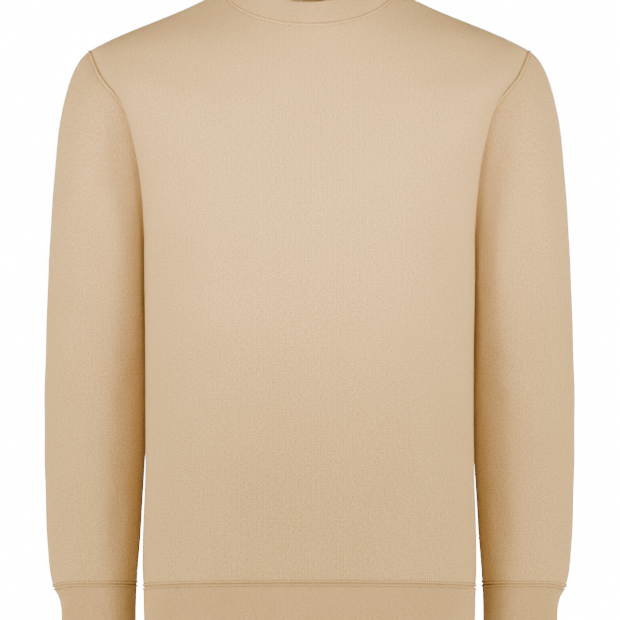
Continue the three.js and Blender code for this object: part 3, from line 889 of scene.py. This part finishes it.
def socket_id(tree, name):
    """The identifier of one of the tree's inputs."""
    for item in tree.interface.items_tree:
        if item.item_type == "SOCKET" and item.in_out == "INPUT" and item.name == name:
            return item.identifier
    raise KeyError(name)


def apply_tree(piece, tree, **inputs):
    """Runs a geometry-nodes tree on a piece and keeps the result as its plain mesh."""
    modifier = piece.modifiers.new("tree", "NODES")
    modifier.node_group = tree
    for name, value in inputs.items():
        modifier[socket_id(tree, name.replace("_", " "))] = value
    depsgraph = bpy.context.evaluated_depsgraph_get()
    made = bpy.data.meshes.new_from_object(piece.evaluated_get(depsgraph))
    piece.modifiers.remove(modifier)
    piece.data = made
    return piece


rib_tree = make_rib_tree()

# %% Rib tubes
RIB_WALL = 2.6
POINTS_A_RIB = 4
FOLD_ROWS = 6
LINING_STEP = 4
BAND_ROWS, CUFF_ROWS, CUFF_AROUND = 12, 22, 240


def even_ring(points, count):
    """A closed ring of count + 1 points, evenly apart; the last closes on the first."""
    closed = np.vstack([points, points[:1]])
    length = np.linalg.norm(np.diff(closed, axis=0), axis=1)
    along = np.concatenate([[0], np.cumsum(length)])
    at = np.linspace(0, along[-1], count + 1)
    return np.stack([np.interp(at, along, closed[:, k]) for k in range(3)], axis=1)


def four_quarters(front_quarter, back_quarter):
    """A ring from the front middle towards the wearer's left and on round the back."""
    half = np.vstack([front_quarter[:-1], back_quarter[::-1]])
    return np.vstack([half, half[-2:0:-1] * [-1, 1, 1]])


def rib_piece(name, rings, ribs, height, seam, mirrored=False, level=True):
    """rings is a grid of the outside from the fold to the seam, its last column the first again."""
    grid = let_in(rings, False, True)
    normal = grid_normals(grid, True)
    if level:
        normal[..., 2] = 0
        normal /= np.linalg.norm(normal, axis=2, keepdims=True)
    high = from_first(grid[::-1])[::-1]
    relief = seam_relief(high, *seam)
    outer = grid + relief[..., None] * normal
    inner = grid - RIB_WALL * normal
    middle = (outer[0] + inner[0]) / 2
    spoke = outer[0] - middle
    down = grid[0] - grid[1]
    down /= np.linalg.norm(down, axis=1, keepdims=True)
    bend = np.linspace(0, np.pi, FOLD_ROWS + 2)[1:-1, None, None]
    fold = middle + np.cos(bend) * spoke + np.sin(bend) * down * RIB_WALL / 2
    lining = inner[[-1, *range(len(inner) - 2, 0, -LINING_STEP), 0]]
    section = np.concatenate([lining, fold[::-1], outer])
    if mirrored:
        section = mirror_grid(section)
    rows, columns = section.shape[:2]
    uv = cloth_lengths(section)
    closed = np.concatenate([section, section[:1]])
    uv = np.concatenate([uv, uv[-1:] + (0, RIB_WALL)])
    quads, corners = quad_corners(rows + 1, columns, 0, mirrored, True)
    quads %= rows * (columns - 1)
    points = section[:, :-1].reshape(-1, 3)
    piece = new_piece(name, points, quads, uv.reshape(-1, 2)[corners.ravel()], materials["rib"])
    around = np.tile(np.linspace(0, 1, columns)[:-1], rows)
    on_face = np.concatenate([np.zeros(len(lining)), np.linspace(0, 1, FOLD_ROWS), fade(high.mean(1), 2.5)])
    for label, values in (("around", around), ("ribbed", np.repeat(on_face, columns - 1))):
        layer = piece.data.attributes.new(label, "FLOAT", "POINT")
        layer.data.foreach_set("value", values.astype(np.float32))
    apply_tree(piece, rib_tree, Ribs=ribs, Height=height * MM, Material=materials["rib"])
    piece.data.polygons.foreach_set("use_smooth", np.ones(len(piece.data.polygons), bool))
    print(name, "has", ribs, "ribs and", len(piece.data.polygons), "quads")
    face = (mirror_grid(outer), mirror_grid(normal)) if mirrored else (outer, normal)
    return piece, face


# %% [markdown]
# The hem band hangs from the hem seam, a touch narrower than the body, and its free edge tips up
# in front where the belly would lift it. Cuffs grip: they are drawn in from the sleeve within a
# couple of centimetres. The collar leans in from the neck seam and follows the neck.

# %% Hem band, cuffs and collar
HEM_RIBS, CUFF_RIBS, COLLAR_RIBS = 470, 124, 236
RIB_HIGH, COLLAR_RIB_HIGH = 0.34, 0.3


def seam_row(grid, last):
    """The left half of a panel's first or last row, from middle to side."""
    return grid[-1 if last else 0, HALF_COLUMNS:]


def row_through(middle, side, like):
    """A curve from middle to side that keeps the shape of the row like."""
    share = np.linspace(0, 1, len(like))[:, None] ** 2
    moved = like + (np.array(middle) - like[0]) * (1 - share)
    return moved + (np.array(side) - moved[-1]) * share


def hem_rings():
    tops = [seam_row(front, False), seam_row(back, False)]
    bottoms = [row_through(m, HEM_SIDE, top) for m, top in zip((HEM_FRONT, HEM_BACK), tops)]
    rows = []
    for share in np.linspace(0, 1, BAND_ROWS):
        rows.append(four_quarters(*(b + (t - b) * share for b, t in zip(bottoms, tops))))
    return np.stack([even_ring(row, HEM_RIBS * POINTS_A_RIB) for row in rows])


def cuff_rings():
    around = np.linspace(0, 1, CUFF_AROUND, endpoint=False)
    rings = arm_ring(CUFF, np.linspace(1, 0, CUFF_ROWS), around)
    return np.stack([even_ring(ring, CUFF_RIBS * POINTS_A_RIB) for ring in rings])


def collar_rings():
    fold_high = np.array([0, 0, RIB_WALL / 2])
    side, tops = COLLAR_SIDE - fold_high, []
    for middle in (COLLAR_FRONT - fold_high, COLLAR_BACK - fold_high):
        out = middle + [ROUND * side[0], 0, 0]
        into = side + ROUND * (middle + [side[0], 0, 0] - side)
        t = np.linspace(0, 1, HALF_COLUMNS + 1)[:, None]
        tops.append(bezier(middle, out, into, side, t))
    seams = [seam_row(front, True), seam_row(back, True)]
    rows = []
    for share in np.linspace(0, 1, BAND_ROWS):
        rows.append(four_quarters(*(b + (t - b) * share for b, t in zip(tops, seams))))
    return np.stack([even_ring(row, COLLAR_RIBS * POINTS_A_RIB) for row in rows])


hem_piece, hem_face = rib_piece("hem_band_rib", hem_rings(), HEM_RIBS, RIB_HIGH, RIB_EDGE)
left_cuff, left_cuff_face = rib_piece("cuff_rib_left", cuff_rings(), CUFF_RIBS, RIB_HIGH, RIB_EDGE)
right_cuff, right_cuff_face = rib_piece(
    "cuff_rib_right", cuff_rings(), CUFF_RIBS, RIB_HIGH, RIB_EDGE, mirrored=True
)
collar_piece, collar_face = rib_piece(
    "collar_rib", collar_rings(), COLLAR_RIBS, COLLAR_RIB_HIGH, COLLAR_EDGE, level=False
)

# %% [markdown]
# ## Stitches
#
# The hem band and cuffs are flattened with two rows of stitches, one each side of the seam, the
# neck with one row below the collar and the armholes with one at the edge of the raised band. A
# stitch is a short length of thread that dips in at both ends. Its dark brown colour is painted
# shade, standing for the shade in the needle holes and along the seam. A tree turns each path into
# a curve, spaces points along it and puts a small rounded stitch on every one, along the curve.


# %% The stitch tree
BEAD_SIDES, BEAD_RINGS = 6, 4


def make_stitch_tree():
    tree = bpy.data.node_groups.new("row of stitches", "GeometryNodeTree")
    socket = tree.interface.new_socket
    socket("Geometry", in_out="INPUT", socket_type="NodeSocketGeometry")
    for label in ("Pitch", "Length", "Thread"):
        socket(label, in_out="INPUT", socket_type="NodeSocketFloat")
    socket("Material", in_out="INPUT", socket_type="NodeSocketMaterial")
    socket("Geometry", in_out="OUTPUT", socket_type="NodeSocketGeometry")
    given, out = tree.nodes.new("NodeGroupInput"), tree.nodes.new("NodeGroupOutput")
    curve = tree.nodes.new("GeometryNodeMeshToCurve")
    points = add(tree, "GeometryNodeCurveToPoints", mode="LENGTH")
    bead = tree.nodes.new("GeometryNodeMeshUVSphere")
    bead.inputs["Segments"].default_value = BEAD_SIDES
    bead.inputs["Rings"].default_value = BEAD_RINGS
    bead.inputs["Radius"].default_value = 0.5
    smooth = tree.nodes.new("GeometryNodeSetShadeSmooth")
    size = tree.nodes.new("ShaderNodeCombineXYZ")
    place = tree.nodes.new("GeometryNodeInstanceOnPoints")
    link = tree.links.new
    link(given.outputs["Geometry"], curve.inputs["Mesh"])
    link(curve.outputs[0], points.inputs["Curve"])
    link(given.outputs["Pitch"], points.inputs["Length"])
    link(points.outputs["Points"], place.inputs["Points"])
    link(points.outputs["Rotation"], place.inputs["Rotation"])
    link(bead.outputs["Mesh"], smooth.inputs["Geometry"])
    link(smooth.outputs[0], place.inputs["Instance"])
    link(given.outputs["Thread"], size.inputs["X"])
    link(given.outputs["Thread"], size.inputs["Y"])
    link(given.outputs["Length"], size.inputs["Z"])
    link(size.outputs[0], place.inputs["Scale"])
    return end_tree(tree, given, out, place.outputs[0])


stitch_tree = make_stitch_tree()
STITCH_PITCH, STITCH_LENGTH, THREAD = 2.5, 1.4, 0.75
THREAD_UP = 0.06


def stitch_path(face, off, at_end):
    """Places along a face's row at a distance off from its first or last row."""
    outer, normal = face
    row = SEAM_STEPS.index(off)
    row = -1 - row if at_end else row
    return outer[row] + THREAD_UP * normal[row]


def stitches(name, *paths):
    points = np.concatenate(paths) * MM
    edges, start = [], 0
    for path in paths:
        edges += [(start + k, start + k + 1) for k in range(len(path) - 1)]
        start += len(path)
    mesh = bpy.data.meshes.new(name)
    mesh.from_pydata(points.tolist(), edges, [])
    piece = bpy.data.objects.new(name, mesh)
    bpy.context.collection.objects.link(piece)
    sizes = {"Pitch": STITCH_PITCH * MM, "Length": STITCH_LENGTH * MM, "Thread": THREAD * MM}
    # The stitches wear the thread material, whose dark colour is painted shade.
    apply_tree(piece, stitch_tree, Material=materials["thread_painted_shade"], **sizes)
    piece.data.materials.clear()
    piece.data.materials.append(materials["thread_painted_shade"])
    print(name, "has", len(piece.data.polygons) // (BEAD_SIDES * BEAD_RINGS), "stitches")
    return piece


# %% Sew
stitch_pieces = [
    stitches(
        "stitches_hem",
        stitch_path(front_face, STITCH_OFF, False),
        stitch_path(back_face, STITCH_OFF, False),
        stitch_path(hem_face, STITCH_OFF, True),
    ),
    stitches(
        "stitches_neck",
        stitch_path(front_face, NECK_STITCH_OFF, True),
        stitch_path(back_face, NECK_STITCH_OFF, True),
    ),
]
for side, sleeve_face, cuff_face in (
    ("left", left_sleeve_face, left_cuff_face),
    ("right", right_sleeve_face, right_cuff_face),
):
    stitch_pieces.append(
        stitches(
            "stitches_cuff_" + side,
            stitch_path(sleeve_face, STITCH_OFF, False),
            stitch_path(cuff_face, STITCH_OFF, True),
        )
    )
    stitch_pieces.append(
        stitches("stitches_armhole_" + side, stitch_path(sleeve_face, BAND_OFF, True))
    )

# %% [markdown]
# ## What stands for what
#
# Each dressed piece takes the place of its plain solid, which is hidden, and moves with the one
# body. The table also gives each piece's slot and the size it was cut to: across and up, and its
# flat area where the cut isn't a rectangle. Rib pieces are given as the outside that shows; each
# is cut twice as deep and folded.

# %% Ride and replace
# piece, node, slot, cut width and length in metres, flat area
CUT = [
    (front_piece, "front_panel", "fleece", 0.60, 0.66, 0.36),
    (back_piece, "back_panel", "fleece", 0.55, 0.68, 0.33),
    (left_sleeve, "sleeve_left", "fleece", 0.44, 0.60, 0.20),
    (right_sleeve, "sleeve_right", "fleece", 0.44, 0.60, 0.20),
    (hem_piece, "hem_band", "rib", 0.95, 0.063, 0.0598),
    (left_cuff, "cuff_left", "rib", 0.24, 0.063, 0.0151),
    (right_cuff, "cuff_right", "rib", 0.24, 0.063, 0.0151),
    (collar_piece, "collar", "rib", 0.47, 0.025, 0.0117),
]
for piece, node, slot, width, length, area in CUT:
    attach(piece, "root")
    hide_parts(node)
for piece in stitch_pieces:
    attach(piece, "root")
print("dressed", len(CUT), "pieces and", len(stitch_pieces), "seams")

# %% [markdown]
# ## Floor and light
#
# The studio is plain: a pale floor below the garment, white surroundings, and pairs of warm soft
# lamps. The front pair lights everything. The chest pair is narrow, as if it shone through a
# grid, and makes the chest the brightest place. The side pair rims the sleeves' outer edges, and
# the back pair is there for anyone who walks round. Between the lamps little light comes from
# anywhere else, so the slots between sleeves and body stay dark.

# %% Floor, lamps and surroundings
FLOOR_DEPTH = -1.15
bpy.ops.mesh.primitive_plane_add(size=6, location=(0, 0, FLOOR_DEPTH))
floor = bpy.context.object
floor.name = "floor"
floor_paint = bpy.data.materials.new("floor")
floor_paint.use_nodes = True
floor_paint.node_tree.nodes["Principled BSDF"].inputs["Base Color"].default_value = (0.8, 0.8, 0.8, 1)
floor.data.materials.append(floor_paint)

WARM = (1.0, 0.755, 0.38)
LAMP_AWAY = 2.6
# name, degrees to the side, degrees up, aimed at z, size, watts, degrees of spread
LAMPS = [
    ("front", 43, 6, -0.3, 0.7, 62, 180),
    ("chest", 12, 12, -0.19, 0.5, 0.48, 11),
    ("side", 90, 5, -0.3, 1.2, 40, 180),
    ("back", 150, 15, -0.3, 1.2, 45, 180),
]
AMBIENT_COLOUR, AMBIENT_STRENGTH = (1, 0.9, 0.75, 1), 0.07
WHITE_STRENGTH = 16.0
for name, aside, up, aim, size, watts, spread in LAMPS:
    for hand in (-1, 1):
        lamp = bpy.data.lights.new("lamp " + name, "AREA")
        lamp.shape, lamp.size, lamp.energy, lamp.color = "DISK", size, watts, WARM
        lamp.spread = math.radians(spread)
        holder = bpy.data.objects.new(lamp.name, lamp)
        turn, tip = hand * math.radians(aside), math.radians(up)
        level = LAMP_AWAY * math.cos(tip)
        height = aim + LAMP_AWAY * math.sin(tip)
        holder.location = (level * math.sin(turn), -level * math.cos(turn), height)
        holder.rotation_euler = (math.radians(90) - tip, 0, turn)
        bpy.context.collection.objects.link(holder)
world = bpy.data.worlds.new("studio")
world.use_nodes = True
bpy.context.scene.world = world
sky = world.node_tree
ambient = sky.nodes["Background"]
ambient.inputs["Color"].default_value = AMBIENT_COLOUR
ambient.inputs["Strength"].default_value = AMBIENT_STRENGTH
white = add(sky, "ShaderNodeBackground", Strength=WHITE_STRENGTH)
white.inputs["Color"].default_value = (1, 1, 1, 1)
rays = sky.nodes.new("ShaderNodeLightPath")
either = sky.nodes.new("ShaderNodeMixShader")
sky.links.new(rays.outputs["Is Camera Ray"], either.inputs[0])
sky.links.new(ambient.outputs[0], either.inputs[1])
sky.links.new(white.outputs[0], either.inputs[2])
sky.links.new(either.outputs[0], sky.nodes["World Output"].inputs["Surface"])
